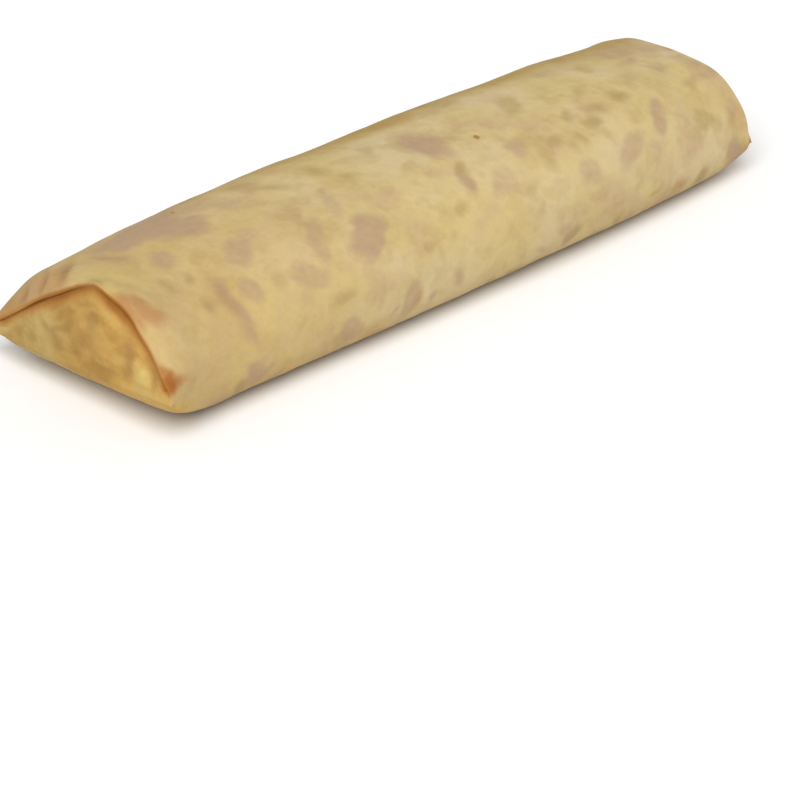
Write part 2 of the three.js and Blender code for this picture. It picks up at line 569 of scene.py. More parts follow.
    def lip_line(self, end: TuckedEnd, set_back: float, inset: float, order: int) -> Array:
        """One ring of the lip or of the groove behind it.

        Args:
            end: Which end.
            set_back: How far behind the rim's plane the ring lies over the top.
            inset: How far inside the outer skin it lies over the top.
            order: Its place among the end's rings, which spreads them below the corners.

        Returns:
            One point for each column.
        """
        angle, share = self.angles(), self.lip_share()
        x = end.side * (self.half_length - set_back * share)
        ring = self.wrap(x, angle)
        rim = self.wrap(end.side * self.half_length, angle)[:, 1:]
        upright = np.stack([rim[:, 0] * self.lip_lean, np.full(self.columns, end.corner)], -1)
        inwards = blend(np.array(end.middle), upright, share[:, None]) - rim
        depth = blend(self.corner_gap * order, inset, share)
        ring[:, 1:] += unit(inwards) * depth[:, None]
        ring[:, 0] += end.side * self.rim_wave() * smooth(1 - set_back / self.wave_reach)
        return ring

    def bulge_at(self, end: TuckedEnd, flat: Array) -> Array:
        """How far the filling pushes a panel out at places across and up."""
        off = (flat - np.array(end.middle) - (0, self.panel_lift)) / self.panel_round
        return self.panel_bulge * np.exp(-(off**2).sum(-1))

    def pole(self, end: TuckedEnd) -> Array:
        """A panel's middle as x, y, z, its browning and painted shadow, and its share of panel."""
        return np.array([end.side * (self.half_length + self.bulge_at(end, end.middle)), *end.middle, 0, 1])

    def end_rings(self, end: TuckedEnd) -> list[Array]:
        """The rings of one end, from the wrap's edge inwards to the last one round the panel's middle.

        Args:
            end: Which end.

        Returns:
            For each point of each ring its x, y, z, browning with painted shadow, and share of panel.
        """
        share, browned = self.lip_share(), self.rim_share()
        half_lip = self.lip_thickness / 2
        brown_from, brown_over = self.lip_brown_and_shade
        plan: list[tuple[float, float, float]] = []
        for step in range(self.lip_steps + 1):
            turn = step / self.lip_steps
            back = half_lip * (1 - math.sin(math.pi * turn))
            inset = half_lip * (1 - math.cos(math.pi * turn))
            plan.append((back, inset, smooth((turn - brown_from) / brown_over)))
        for step in range(1, self.groove_steps + 1):
            going = step / self.groove_steps
            plan.append((blend(half_lip, self.groove_depth, going), self.lip_thickness, 1.0))
        for step in range(self.groove_steps + 1):
            going = step / self.groove_steps
            inset = self.lip_thickness + self.groove_gap * (1 + self.groove_flare * going)
            back = blend(self.groove_depth + self.groove_step, self.panel_recess, going)
            plan.append((back, inset, 1.0))
        first_panel = self.lip_steps + self.groove_steps + 1
        rings: list[Array] = []
        for order, (back, inset, brown_and_shade) in enumerate(plan):
            line = self.lip_line(end, back, inset, order)
            panel = blend(1.0, float(order >= first_panel), share)
            rings.append(np.column_stack([line, brown_and_shade * browned, panel]))
        edge = rings[-1][:, 1:3]
        middle = np.array(end.middle)
        for index in range(1, self.panel_rings):
            out = 1 - (index / self.panel_rings) ** self.panel_crowding
            flat = middle + (edge - middle) * out
            recess = self.panel_recess * share * out**self.panel_edge_power
            bulge = self.bulge_at(end, flat) * smooth((1 - out) / self.panel_rise)
            x = end.side * (self.half_length - recess + bulge)
            away = np.linalg.norm(flat[:, None] - edge[None], axis=2)
            # Browning and painted shadow fading from the lip across the panel
            brown_and_shade = browned[away.argmin(1)] * bell(away.min(1) / self.rim_reach, self.rim_falloff)
            rings.append(np.column_stack([x, flat, brown_and_shade, np.ones(self.columns)]))
        return rings

    def under_place(self, place: float, last: float) -> float:
        """Where a wrap's ring crosses the underside, so that the rings follow its curl evenly.

        Args:
            place: Where the ring crosses the top.
            last: The same for the last ring.

        Returns:
            The place along the roll.
        """
        end = self.near if place < 0 else self.far
        start = self.half_length - end.curl_length
        turn = max(abs(place) - start, 0) / (last - start) * self.last_ring * math.pi / 2
        if turn == 0:
            return place
        return end.side * (start + end.curl_length * math.sin(turn) ** (2 / end.curl_power))

    def skin(self) -> Skin:
        """Works out the whole skin.

        Returns:
            The skin, from the near panel's middle to the far panel's middle.
        """
        angle, share, browned = self.angles(), self.lip_share(), self.rim_share()
        under = smooth(-np.sin(angle) / self.under_fade)
        outer_from, outer_fade = self.outer_end
        outer = self.outer_browning * (1 - smooth((angle - outer_from) / outer_fade))
        rings = self.end_rings(self.near)[::-1]
        last = self.half_length - self.lip_thickness * self.lip_overlap
        for place in np.linspace(-last, last, self.wrap_rings):
            places = blend(self.under_place(place, last), place, share)
            ring = self.wrap(places, angle)
            from_rim = self.half_length - np.abs(places)
            ring[:, 0] += np.sign(place) * self.rim_wave() * smooth(1 - from_rim / self.wave_reach)
            brown_and_shade = outer * browned * bell(from_rim / self.outer_reach)
            rings.append(np.column_stack([ring, brown_and_shade, under * bell(from_rim / self.panel_under)]))
        rings += self.end_rings(self.far)
        body = np.array(rings)
        near_lip = bell((self.half_length - np.abs(body[..., 0])) / self.lip_calm)
        calm = np.maximum(body[..., 3], near_lip * share)
        whole = np.vstack([self.pole(self.near), body.reshape(-1, 5), self.pole(self.far)])
        known = {"rim": whole[:, 3], "panel": whole[:, 4], "calm": np.pad(calm.ravel(), 1)}
        return Skin(whole[:, :3], len(rings), known)


@dataclass(frozen=True)
class PhotoCamera:
    """The photograph's camera, worked out from the parcel's outline. Millimetres and pixels."""

    azimuth: float = -45.0  # Degrees round the parcel from its front, negative towards the near end
    elevation: float = 25.0  # Degrees above the table
    distance: float = 533.8  # From the aimed point to the camera
    lens: float = 3600.0  # Lens length in pixels of the picture
    sight: tuple[float, float, float] = (0.0, 0.0, 10.0)  # The point seen at the two places below
    pixel_x: float = 400.9
    pixel_y: float = 203.6
    picture: float = 800.0  # The picture's width and height in pixels
    sensor: float = 36.0  # The sensor's width

    def axes(self) -> tuple[Array, Array, Array, Array]:
        """Works out how the camera stands to see the aimed point where the photograph has it.

        Returns:
            Its place and its right, up and forward directions.
        """
        turn, rise = math.radians(self.azimuth), math.radians(self.elevation)
        flat = math.cos(rise)
        back = np.array([math.sin(turn) * flat, -math.cos(turn) * flat, math.sin(rise)])
        place = np.array(self.sight) + back * self.distance
        right = np.array([math.cos(turn), math.sin(turn), 0.0])
        up = np.cross(back, right)
        per_pixel = self.distance / self.lens
        middle = self.picture / 2
        aim = np.array(self.sight)
        aim = aim - right * (self.pixel_x - middle) * per_pixel
        aim = aim - up * (middle - self.pixel_y) * per_pixel
        forward = unit(aim - place)
        right = unit(np.cross(forward, [0.0, 0.0, 1.0]))
        return place, right, np.cross(right, forward), forward

    def project(self, points: Array) -> Array:
        """Where points are seen.

        Args:
            points: Places in millimetres, one in each row.

        Returns:
            The pixel column and row of each.
        """
        place, right, up, forward = self.axes()
        away = points - place
        deep = away @ forward
        column = self.picture / 2 + self.lens * (away @ right) / deep
        row = self.picture / 2 - self.lens * (away @ up) / deep
        return np.stack([column, row], -1)

    def facing(self, points: Array, normals: Array) -> Array:
        """How squarely each point faces the camera, from -1 to 1."""
        return np.sum(unit(self.axes()[0] - points) * normals, -1)

    def make(self, shift: Array) -> bpy.types.Object:
        """Adds the camera to the scene.

        Args:
            shift: From the parcel's own frame to the part's frame, in millimetres.

        Returns:
            The camera object.
        """
        place, right, up, forward = self.axes()
        data = bpy.data.cameras.new("photo_camera")
        data.sensor_width = self.sensor
        data.lens = self.lens / self.picture * self.sensor
        data.clip_start = 0.01
        data.clip_end = 20.0
        camera = bpy.data.objects.new("photo_camera", data)
        turn = Matrix(np.column_stack([right, up, -forward]).tolist()).to_4x4()
        camera.matrix_world = Matrix.Translation(((place + shift) * MM).tolist()) @ turn
        bpy.context.scene.collection.objects.link(camera)
        bpy.context.scene.camera = camera
        return camera


@dataclass(frozen=True)
class Wobble:
    """Smooth random waviness in space, as a sum of plane waves. Millimetres."""

    size: float  # About how long its waves are
    height: float  # About how far it moves a point
    seed: int
    waves: int = 18

    def at(self, points: Array) -> Array:
        """How far the waviness moves points.

        Args:
            points: Places, one in each row.

        Returns:
            Each point's move, as x, y and z.
        """
        draw = np.random.default_rng(self.seed)
        moved = np.zeros_like(points)
        for axis in range(3):
            turns = draw.normal(size=(self.waves, 3)) * 4 / self.size
            phases = draw.uniform(0, FULL_TURN, self.waves)
            waves = np.sin(points @ turns.T + phases).sum(1)
            moved[:, axis] = waves * self.height * math.sqrt(2 / self.waves)
        return moved


# The patches in view on the wrap and on the near panel. A row holds the values of one Spot, in its order.
WRAP_SPOTS: SpotTable = {
    Tint.MAUVE: (
        (370, 235, 3.1, 2.5, 97, 0.82, 3.4), (424, 145, 3.7, 1.4, 15, 0.88, 2.4),
        (468, 183, 1.7, 0.9, 55, 0.85), (516, 148, 1.6, 0.9, 40, 0.75), (503, 182, 2.3, 1.7, 80, 0.4),
        (592, 168, 2.1, 1.5, 55, 0.5), (633, 148, 2.7, 1.6, 118, 0.6), (656, 145, 1.4, 0.8, -20, 0.3),
        (657, 108, 1.3, 0.9, 80, 0.8), (660, 124, 1.7, 1.0, 88, 0.8), (733, 108, 1.5, 0.9, 60, 0.5),
        (629, 60, 1.1, 0.6, 0, 0.7), (650, 50, 1.8, 0.6, 0, 0.65), (660, 70, 1.0, 0.7, 20, 0.5),
        (615, 52, 3.5, 1.0, -8, 0.5), (690, 62, 2.6, 0.8, 22, 0.45), (545, 74, 2.1, 0.45, -5, 0.55),
        (240, 251, 2.2, 1.9, 0, 0.65, 2.6), (248, 234, 1.5, 1.0, 20, 0.4),
        (315, 232, 1.9, 1.2, 75, 0.65), (321, 248, 2.0, 1.3, 70, 0.35),
        (311, 276, 2.7, 1.5, 8, 0.6, 3.0), (331, 202, 2.1, 1.0, 48, 0.5), (305, 301, 1.5, 0.9, 0, 0.3),
        (164, 259, 2.0, 1.1, 12, 0.75, 2.4), (128, 236, 4.4, 1.4, -27, 0.9),
        (160, 226, 3.8, 1.4, -20, 1.0), (150, 222, 5.2, 1.2, -24, 0.95), (112, 243, 3.2, 0.9, -22, 0.8),
        (178, 228, 2.6, 1.3, -12, 0.9), (192, 225, 2.6, 1.4, -8, 0.9), (222, 205, 2.8, 0.7, 5, 0.45),
        (192, 208, 3.0, 0.7, -16, 0.4), (251, 289, 2.4, 1.3, 38, 0.68), (222, 290, 2.7, 0.9, 52, 0.65),
        (241, 312, 2.7, 1.0, 47, 0.7), (251, 332, 2.0, 0.9, 65, 0.6), (104, 257, 1.7, 0.5, 12, 0.55),
        (125, 258, 1.6, 0.4, 4, 0.5), (30, 292, 3.0, 1.5, -42, 0.6),
    ),
    Tint.OLIVE: (
        (398, 139, 1.4, 0.9, 0, 0.4), (460, 170, 1.3, 0.8, 60, 0.8), (504, 139, 1.3, 0.5, 30, 0.35),
        (531, 189, 1.2, 0.8, -40, 0.4), (554, 141, 1.2, 1.0, 0, 0.6), (566, 116, 1.1, 0.7, 50, 0.7),
        (549, 158, 1.8, 0.6, 52, 0.55), (583, 140, 1.4, 0.6, 45, 0.5), (592, 122, 1.4, 0.8, 12, 0.75),
        (595, 107, 1.6, 0.7, -5, 0.65), (619, 96, 1.5, 0.6, 5, 0.8), (609, 134, 1.2, 0.6, 30, 0.4),
        (705, 116, 1.9, 1.3, 20, 0.6), (691, 84, 0.9, 0.6, 20, 0.5), (581, 69, 1.9, 0.45, 0, 0.55),
        (630, 76, 1.0, 0.7, 0, 0.45), (578, 93, 0.9, 0.7, 0, 0.5), (539, 89, 0.9, 0.5, 0, 0.4),
        (531, 129, 1.1, 0.5, 0, 0.3), (512, 106, 2.2, 1.0, 33, 0.6), (440, 105, 2.2, 0.6, -18, 0.6),
        (366, 151, 1.0, 0.6, 30, 0.35), (430, 174, 0.8, 0.6, 0, 0.35), (461, 209, 1.1, 0.9, 0, 0.5),
        (430, 247, 1.2, 0.9, 0, 0.5), (321, 192, 0.7, 0.5, 0, 0.6), (347, 298, 1.8, 0.8, -25, 0.5),
        (279, 280, 1.3, 1.2, 0, 0.3), (262, 246, 1.1, 0.9, 0, 0.25), (146, 226, 4.6, 1.2, -24, 0.35),
        (245, 187, 2.0, 0.5, -6, 0.5), (268, 187, 3.0, 0.5, -3, 0.6), (316, 172, 1.8, 0.6, 8, 0.6),
        (346, 177, 1.3, 0.5, 12, 0.6), (167, 285, 1.5, 0.6, 35, 0.55), (190, 278, 1.1, 0.7, 35, 0.7),
        (197, 257, 1.0, 0.6, 0, 0.3), (208, 307, 1.1, 0.7, 40, 0.75), (64, 270, 1.4, 0.7, -30, 0.7),
        (96, 281, 0.6, 0.3, 10, 0.8),
    ),
    Tint.RUST: (
        (738, 122, 1.8, 0.9, 60, 0.35), (399, 122, 1.9, 0.5, -20, 0.4), (275, 171, 2.3, 0.4, -5, 0.45),
        (126, 302, 1.7, 0.8, 50, 0.95), (132, 313, 2.0, 0.9, 58, 0.9),
        (143, 310, 3.2, 1.3, 33, 0.9, 3.4), (148, 319, 2.2, 0.9, 5, 0.8, 4.0),
        (52, 278, 1.8, 0.8, -60, 0.7), (62, 286, 1.2, 0.6, -70, 0.5), (48, 286, 2.4, 1.6, -25, 0.55),
        (26, 297, 2.4, 1.4, -40, 0.3), (8, 309, 2.0, 1.2, -50, 0.7), (120, 303, 1.9, 0.6, 50, 0.8),
        (139, 322, 2.0, 0.7, 55, 0.85),
    ),
    Tint.PALE_AND_HIGHLIGHT: (
        (273, 316, 2.4, 0.6, 85, 0.4), (118, 276, 3.4, 1.0, 8, 0.45), (92, 277, 2.2, 0.8, -6, 0.6),
        (109, 287, 2.2, 0.9, 42, 0.65), (140, 279, 2.2, 1.2, 20, 0.4),
    ),
    # Browned patches at the near front corner; the one leaning -25 along the foot paints shade and a warm
    # glow
    Tint.BROWN: (
        (169, 383, 1.5, 1.0, 62, 1.0), (177, 381, 1.2, 0.5, -25, 0.6), (163, 370, 1.5, 0.5, 63, 0.75),
        (117, 300, 2.4, 0.5, 48, 0.25),
    ),
    Tint.DULL: (
        (476, 137, 0.4, 0.22, 50, 1.0, 2.0, 0.4), (171, 212, 0.35, 0.22, 30, 0.7, 2.0, 0.4),
    ),
}

PANEL_SPOTS: SpotTable = {
    Tint.DULL: (
        (66, 312, 1.7, 0.9, -12, 0.8), (58, 304, 1.3, 0.6, -25, 0.7), (66, 327, 1.9, 0.8, -18, 0.75),
        (18, 331, 1.1, 0.8, -20, 0.75), (9, 336, 0.9, 0.5, 20, 0.5), (31, 337, 0.8, 0.7, 30, 0.6),
        (27, 327, 0.6, 0.4, 0, 0.35), (58, 345, 1.5, 0.8, 60, 0.65), (68, 362, 1.6, 0.7, 35, 0.45),
        (84, 305, 1.0, 0.6, 20, 0.7), (95, 317, 1.2, 0.8, 50, 0.8), (102, 324, 0.6, 0.5, 0, 0.5),
        (84, 341, 1.5, 0.7, 70, 0.7), (76, 352, 1.5, 0.6, 60, 0.8), (114, 338, 1.5, 0.8, 45, 0.55),
        (122, 348, 1.0, 0.5, 55, 0.5), (131, 357, 0.8, 0.4, 30, 0.35), (97, 355, 1.1, 0.5, 70, 0.45),
        (100, 373, 2.6, 1.0, 25, 0.9), (87, 366, 1.6, 0.7, 35, 0.65), (125, 373, 1.1, 0.7, 60, 0.4),
    ),
    # Pale patches; the upright streak on the left and the round ones at the lower right paint highlights on
    # the panel's bulges
    Tint.PALE_AND_HIGHLIGHT: (
        (43, 323, 2.2, 1.1, 80, 0.3), (88, 324, 1.9, 0.6, 85, 0.15), (118, 361, 1.4, 0.9, 20, 0.25),
        (109, 314, 1.6, 0.7, 45, 0.3), (137, 366, 1.3, 0.8, 40, 0.3),
        (144, 377, 1.5, 1.2, 75, 0.85, 2.6), (141, 389, 1.5, 0.9, 75, 0.5),
        (152, 398, 1.3, 0.7, 60, 0.4),
    ),
}


@dataclass
class SeenSkin:
    """The skin as the camera sees it."""

    camera: PhotoCamera
    points: Array  # In millimetres
    normals: Array  # The outward direction at each point
    on_panel: Array  # 1 for points of the panels
    surely: float = 0.9  # How much of the wrap or of a panel a point must be to be taken for one
    least_facing: float = 0.05  # How squarely a point must face the camera to be in view

    def __post_init__(self) -> None:
        """Works out where each point is seen, and how squarely it faces the camera."""
        self.seen_at = self.camera.project(self.points)
        self.facing = self.camera.facing(self.points, self.normals)

    def nearest(self, place: Sequence[float], on_panel: bool) -> int:
        """Finds the point that is seen nearest to a pixel.

        Args:
            place: The pixel's column and row.
            on_panel: Whether to look on the panels rather than on the wrap.

        Returns:
            The point's number.
        """
        fits = same_side(self.on_panel, on_panel) > self.surely
        visible = fits & (self.facing > self.least_facing)
        return int(np.argmin(np.where(visible, np.hypot(*(self.seen_at - place).T), np.inf)))


@dataclass
class GriddleSpots(SeenSkin):
    """All patches of the crepe: those in view, and others of the same kinds on the hidden sides."""

    # What bends the outlines of the patches, and how far from its middle's plane one still reaches
    wobbles: tuple[Wobble, ...] = (Wobble(6.0, 0.2, 5), Wobble(2.6, 0.1, 6))
    patch_depth: float = 5.0

    # The hidden patches. Where two numbers stand, each patch draws its own between them.
    hidden_count: int = 240
    seed: int = 11
    root_reach: tuple[float, float] = (0.8, 1.7)  # The square root of the longer reach
    slimness: tuple[float, float] = (0.35, 0.9)  # The shorter reach as a share of the longer
    strength: tuple[float, float] = (0.45, 0.95)
    squareness: tuple[float, float] = (2.0, 3.0)
    rust_share: float = 0.5  # How strong a rust patch is next to the others
    wrap_kinds: tuple[Tint, ...] = 3 * (Tint.MAUVE,) + 2 * (Tint.OLIVE,) + (Tint.RUST,)
    panel_kinds: tuple[Tint, ...] = 5 * (Tint.DULL,) + (Tint.PALE_AND_HIGHLIGHT,)

    # They lie where the skin turns away from the camera, past the first of two places along the roll,
    # and on the whole panel past the second one
    hidden_facing: float = -0.12
    hidden_ends: tuple[float, float] = (-61.5, 62.6)

    # The front of the roll is in view above this line of the picture: two columns and their rows
    in_view_from: tuple[float, float] = (178.0, 392.0)
    in_view_to: tuple[float, float] = (748.0, 132.0)
    below_view: float = 14.0  # How many rows under the line the hidden patches begin

    def __post_init__(self) -> None:
        """Starts with no patches, and bends space so that their outlines come out uneven."""
        super().__post_init__()
        count = len(self.points)
        self.cover = {tint: np.zeros(count) for tint in Tint}
        self.weight = {tint: np.full(count, LEAST_WEIGHT) for tint in Tint}
        self.depth = {tint: np.zeros(count) for tint in Tint}
        self.bent = self.points
        for wobble in self.wobbles:
            self.bent = self.bent + wobble.at(self.points)

    def basis(self, centre: int) -> tuple[Array, Array, Array]:
        """Works out the directions at one point of the skin.

        Args:
            centre: The point's number.

        Returns:
            The outward direction and two directions along the skin.
        """
        normal = self.normals[centre]
        along = unit(np.array([1.0, 0.0, 0.0]) - normal * normal[0] + TINY)
        return normal, along, np.cross(normal, along)

    def stamp(self, tint: Tint, centre: int, shape: Array, spot: Spot) -> None:
        """Adds one patch round a point of the skin.

        Args:
            tint: Its kind.
            centre: The point's number.
            shape: Two rows that turn a step on the skin into shares of the patch's reach.
            spot: How wide, strong, square and soft it is.
        """
        normal, along, about = self.basis(centre)
        step = self.bent - self.bent[centre]
        flat = np.abs(np.stack([step @ along, step @ about], -1) @ shape.T)
        sunk = step @ normal / self.patch_depth
        reach = (flat[:, 0] ** spot.square + flat[:, 1] ** spot.square) ** (1 / spot.square)
        reach = np.sqrt(reach * reach + sunk * sunk)
        cover = clamp01(0.5 + (1 - reach) * (spot.wide / spot.soft))
        cover = cover * same_side(self.on_panel, self.on_panel[centre] > 0.5)
        self.cover[tint] = np.maximum(self.cover[tint], cover)
        self.weight[tint] = self.weight[tint] + cover**3
        self.depth[tint] = self.depth[tint] + cover**3 * spot.depth

    def view_shape(self, centre: int, spot: Spot) -> Array:
        """The two rows that make a patch look as long, wide and leaning as the camera sees it.

        Args:
            centre: The number of the point under its middle.
            spot: The patch.

        Returns:
            A matrix from steps on the skin to shares of the patch's reach.
        """
        along, about = self.basis(centre)[1:]
        start = self.points[centre]
        seen_at = self.camera.project(np.array([start, start + along, start + about]))
        per_mm = self.camera.lens / self.camera.distance
        jacobian = np.column_stack([seen_at[1] - seen_at[0], seen_at[2] - seen_at[0]]) / per_mm
        return np.diag([1 / spot.long, 1 / spot.wide]) @ turned(math.radians(spot.lean)) @ jacobian

    def place_visible(self, table: SpotTable, on_panel: bool) -> None:
        """Puts patches where the camera sees them.

        Args:
            table: The patches of each tint.
            on_panel: Whether they lie on the near panel rather than on the wrap.
        """
        for tint, rows in table.items():
            for row in rows:
                spot = Spot(*row)
                centre = self.nearest((spot.x, spot.y), on_panel)
                self.stamp(tint, centre, self.view_shape(centre, spot), spot)

    def scatter_hidden(self) -> None:
        """Puts patches of like sizes on the sides that the photograph doesn't show."""
        draw = np.random.default_rng(self.seed)
        (x0, y0), (x1, y1) = self.in_view_from, self.in_view_to
        line = y0 + (self.seen_at[:, 0] - x0) * (y1 - y0) / (x1 - x0)
        below = (self.seen_at[:, 1] > line + self.below_view) & (self.on_panel < 0.5)
        wrap_from, panel_from = self.hidden_ends
        hidden = ((self.facing < self.hidden_facing) | below) & (self.points[:, 0] > wrap_from)
        choices = np.flatnonzero(hidden | (self.points[:, 0] > panel_from))
        for centre in draw.choice(choices, self.hidden_count, replace=False):
            long = draw.uniform(*self.root_reach) ** 2
            wide = long * draw.uniform(*self.slimness)
            shape = np.diag([1 / long, 1 / wide]) @ turned(draw.uniform(0, math.pi))
            kinds = self.panel_kinds if self.on_panel[centre] > 0.5 else self.wrap_kinds
            tint = kinds[int(draw.integers(len(kinds)))]
            depth = draw.uniform(*self.strength) * (self.rust_share if tint is Tint.RUST else 1.0)
            spot = Spot(0, 0, long, wide, 0, depth, draw.uniform(*self.squareness))
            self.stamp(tint, int(centre), shape, spot)

    def values(self) -> dict[str, Array]:
        """Gathers the numbers that the finish reads.

        Returns:
            Each kind's cover and its strength, by name.
        """
        stored = {}
        for tint in Tint:
            stored[tint.value] = self.cover[tint]
            stored[tint.value + "_depth"] = self.depth[tint] / self.weight[tint]
        return stored


@dataclass(frozen=True)
class Crease:
    """A shallow line pressed or folded into the skin."""

    path: tuple[tuple[float, float], ...]  # Pixel columns and rows of the photograph
    width: float  # Its half width in millimetres
    height: float  # How far it stands out, or in if it is below 0, in millimetres
    on_panel: bool = False  # Whether it lies on the near panel


CREASES = (
    Crease(((47, 267), (44, 281), (36, 294)), 0.7, -0.3),
    Crease(((27, 284), (25, 295), (18, 305)), 0.7, -0.28),
    Crease(((72, 260), (65, 270), (60, 283)), 0.9, -0.3),
    Crease(((86, 258), (112, 257), (135, 262)), 1.0, -0.11),
    Crease(((100, 272), (130, 277), (158, 290)), 1.3, 0.2),
    Crease(((128, 300), (150, 333), (168, 364)), 1.3, 0.16),
    Crease(((205, 268), (228, 300), (252, 338)), 1.6, -0.15),
    Crease(((262, 300), (275, 318)), 1.6, 0.18),
    Crease(((36, 312), (46, 330), (58, 348)), 1.1, -0.2, True),
    Crease(((86, 302), (90, 325), (88, 348)), 1.2, -0.16, True),
    Crease(((126, 334), (129, 357), (127, 380)), 1.0, -0.3, True),
    Crease(((139, 362), (142, 376), (142, 390)), 1.1, 0.4, True),
    Crease(((152, 362), (153, 378), (153, 392)), 0.7, -0.3, True),
)


@dataclass
class Creaser(SeenSkin):
    """Presses the creases into the skin."""

    steps: int = 24  # How many places along a crease are looked up on the skin
    tip: float = 0.08  # How far along its half wave the height at a crease's tip is taken
    agree_from: float = 0.4  # How well a point's direction must agree with the crease's to be moved
    agree_over: float = 0.5  # How much better for the whole height

    def heights(self, creases: Iterable[Crease]) -> Array:
        """How far the creases move each point along its normal.

        Args:
            creases: The creases.

        Returns:
            Heights in millimetres.
        """
        total = np.zeros(len(self.points))
        for crease in creases:
            line = np.array(crease.path, float)
            going = np.linspace(0, len(line) - 1, self.steps)
            path = np.stack([np.interp(going, np.arange(len(line)), axis) for axis in line.T], -1)
            spine = [self.nearest(place, crease.on_panel) for place in path]
            away = np.stack([np.linalg.norm(self.points - self.points[one], axis=1) for one in spine])
            order = away.argmin(0)
            agree = np.sum(self.normals * self.normals[spine][order], -1)
            taper = np.sin(math.pi * (self.tip + (1 - 2 * self.tip) * order / (self.steps - 1)))
            fade = taper * smooth((agree - self.agree_from) / self.agree_over)
            same = same_side(self.on_panel, crease.on_panel)
            total += crease.height * fade * bell(away.min(0) / crease.width) * same
        return total


@dataclass(frozen=True)
class CrepeRelief:
    """The fine unevenness of cooked batter, as a Geometry Nodes tree. Sizes in metres."""

    blister_height: float = 0.00015
    blister_size: float = 0.0075
    dimple_depth: float = 0.00007
    dimple_size: float = 0.0022
    seed: float = 3.0

    def tree(self, finish: bpy.types.Material) -> tuple[bpy.types.NodeTree, dict[str, float]]:
        """Builds the tree, with an input named after each size.

        Args:
            finish: The material that the result gets.

        Returns:
            The tree, and each input socket's identifier with its value.
        """
        tree = bpy.data.node_groups.new("crepe_relief", "GeometryNodeTree")
        tree.interface.new_socket("Geometry", in_out="INPUT", socket_type="NodeSocketGeometry")
        identifiers = {}
        for name, value in asdict(self).items():
            socket = tree.interface.new_socket(name, in_out="INPUT", socket_type="NodeSocketFloat")
            identifiers[socket.identifier] = value
        tree.interface.new_socket("Geometry", in_out="OUTPUT", socket_type="NodeSocketGeometry")
        graph = Graph(tree)
        source = tree.nodes.new("NodeGroupInput")
        given = {socket.name: Wire(graph, socket) for socket in source.outputs if socket.name}
        place = graph.node("GeometryNodeInputPosition")
        normal = graph.node("GeometryNodeInputNormal")
        calm = graph.node("GeometryNodeInputNamedAttribute", {"data_type": "FLOAT"}, {"Name": "calm"})
        blister = graph.noise(place, given["blister_size"], given["seed"], 1.0)
        dimple = graph.noise(place, given["dimple_size"], given["seed"] + 5.0)
        height = (blister - 0.5) * 2.0 * given["blister_height"]
        height = (height - graph.step(dimple, 0.5, 0.75) * given["dimple_depth"]) * (1.0 - calm)
        offset = graph.node("ShaderNodeVectorMath", {"operation": "SCALE"}, {0: normal, "Scale": height})
        low = graph.vector("MAXIMUM", graph.vector("ADD", place, offset), (-1.0, -1.0, 0.0))
        skin = graph.node("GeometryNodeSetPosition", None, {0: given["Geometry"], "Position": low})
        for kind in ("GeometryNodeSetShadeSmooth", "GeometryNodeRealizeInstances"):
            skin = graph.node(kind, None, {0: skin})
        skin = graph.node("GeometryNodeSetMaterial", None, {"Geometry": skin, "Material": finish})
        graph.feed(tree.nodes.new("NodeGroupOutput").inputs[0], skin)
        return tree, identifiers

    def apply(self, piece: bpy.types.Object, finish: bpy.types.Material) -> None:
        """Turns the relief into the piece's own plain mesh.

        Args:
            piece: The skin.
            finish: Its material.
        """
        tree, identifiers = self.tree(finish)
        modifier = piece.modifiers.new("crepe_relief", "NODES")
        modifier.node_group = tree
        for identifier, value in identifiers.items():
            modifier[identifier] = value
        graph = bpy.context.evaluated_depsgraph_get()
        evaluated = piece.evaluated_get(graph)
        mesh = bpy.data.meshes.new_from_object(evaluated, preserve_all_data_layers=True, depsgraph=graph)
        piece.modifiers.remove(modifier)
        smooth_skin = piece.data
        piece.data = mesh
        bpy.data.meshes.remove(smooth_skin)


@dataclass(frozen=True)
class Cloud:
    """Soft clouds of another shade in the batter."""

    size: float  # How large one is, in metres
    seed: float
    low: float  # The noise's value where the shade begins
    high: float  # The value from which it is full
    strength: float = 1.0  # How strong it is there
    detail: float = 2.0  # How many finer layers the noise has
    rough: float = 0.5  # How strong they are

    def lay(self, graph: Graph, place: Wire, under: object, shade: Colour) -> tuple[Wire, Wire]:
        """The colour with the clouds of a shade laid over it, and the noise that they come from."""
        value = graph.noise(place, self.size, self.seed, self.detail, self.rough)
        return graph.mix(graph.step(value, self.low, self.high) * self.strength, under, shade), value


